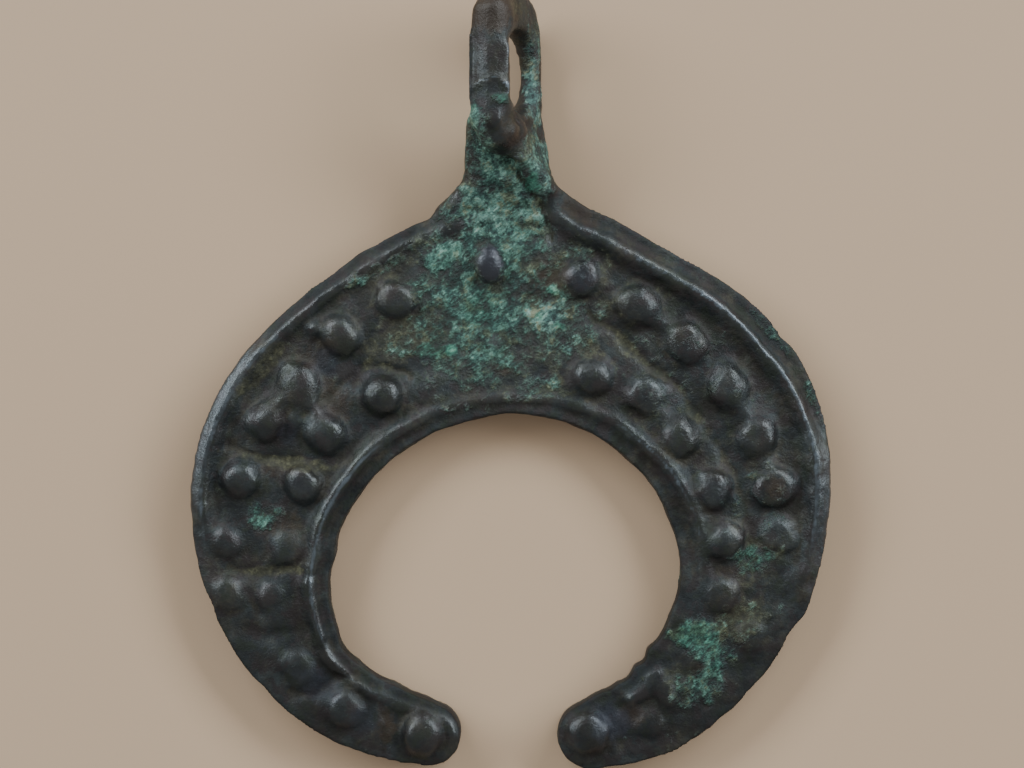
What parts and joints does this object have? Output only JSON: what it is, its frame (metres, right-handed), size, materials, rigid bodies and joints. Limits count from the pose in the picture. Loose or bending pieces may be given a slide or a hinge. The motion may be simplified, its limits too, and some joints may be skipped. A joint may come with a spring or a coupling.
{
  "type": "lunula pendant",
  "caption": "Cast bronze crescent pendant with raised rims and domed pellets, hung from an upright cast eye on its crown.",
  "frame": {"origin": "centre of the pendant's bounding box, on the plane of its flat back", "axes": "+Z out of the decorated face, +Y from the horns towards the eye"},
  "size_m": [0.0338, 0.0408, 0.0063],
  "materials": {
    "bronze": "old cast bronze, dark brown and worn smooth on the pellets and rims, with earth in the hollows and green patina on the neck"
  },
  "bodies": {
    "root": {"lunula": "bronze"}
  },
  "joints": []
}
